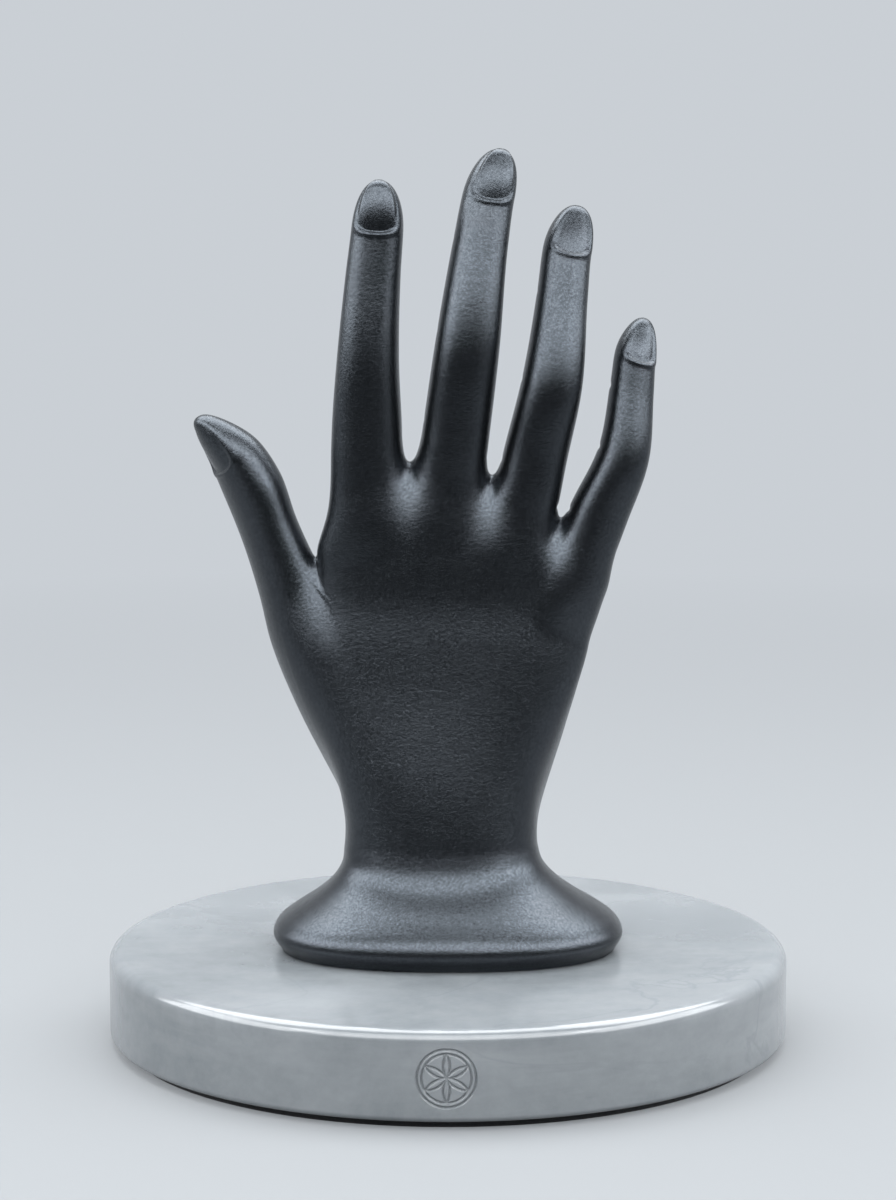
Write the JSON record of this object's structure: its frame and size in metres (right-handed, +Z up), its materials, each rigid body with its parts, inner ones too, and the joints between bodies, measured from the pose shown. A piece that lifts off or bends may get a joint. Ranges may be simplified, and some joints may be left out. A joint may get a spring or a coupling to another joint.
{
  "type": "hand jewelry stand",
  "caption": "Upright right hand with spread fingers on a flared oval foot, screwed to a round stone base, for showing rings and bracelets.",
  "frame": {"origin": "centre of the pad's underside, on the surface that the stand rests on", "axes": "+Z up along the hand, -Y to the front, which the back of the hand faces, +X to the little finger's side"},
  "size_m": [0.19, 0.19, 0.2481],
  "materials": {
    "hand": "satin charcoal black paint on cast resin, with a fine grain",
    "marble": "polished pale grey marble with soft veins",
    "pad": "black foam sheet",
    "bolt": "black oxide",
    "washer": "zinc plated",
    "insert": "plain brass"
  },
  "bodies": {
    "root": {"hand": "hand", "marble_base": "marble", "base_pad": "pad", "fixing_bolt": "bolt", "washer": "washer", "threaded_insert": "insert"}
  },
  "joints": []
}
